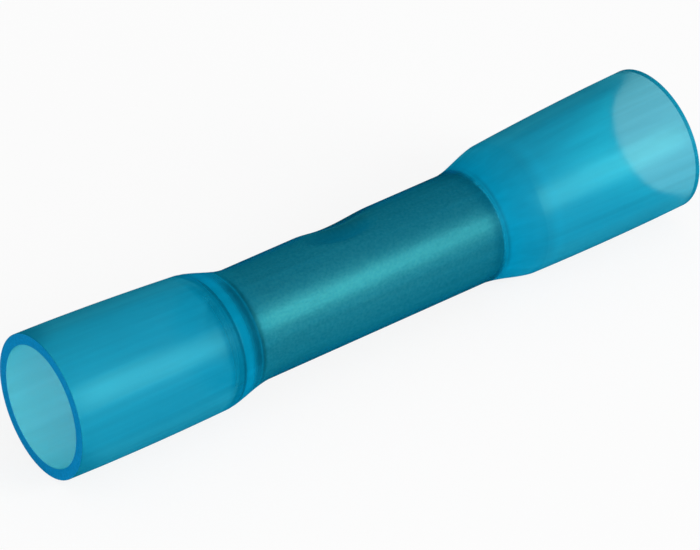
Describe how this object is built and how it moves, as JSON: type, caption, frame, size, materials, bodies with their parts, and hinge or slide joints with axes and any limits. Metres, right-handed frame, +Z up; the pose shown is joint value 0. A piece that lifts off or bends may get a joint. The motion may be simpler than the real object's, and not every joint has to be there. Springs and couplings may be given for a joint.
{
  "type": "butt splice connector",
  "caption": "Heat-shrink butt splice: a tinned crimp barrel in the neck of a clear blue sleeve, open at both ends for the wires it joins.",
  "frame": {"origin": "on the surface that the part lies on, under the wire stop at the middle of the barrel", "axes": "+X along the tube towards the mouth that is cut square, +Z up with the part lying on its side, +Y across it"},
  "size_m": [0.037, 0.007, 0.0072],
  "materials": {
    "clear_blue_sleeve": "satin, frosted and see-through",
    "tin_plated_copper": "dull tin plate with a fine grain"
  },
  "bodies": {
    "root": {"insulating_sleeve": "clear_blue_sleeve", "crimp_barrel": "tin_plated_copper"}
  },
  "joints": []
}
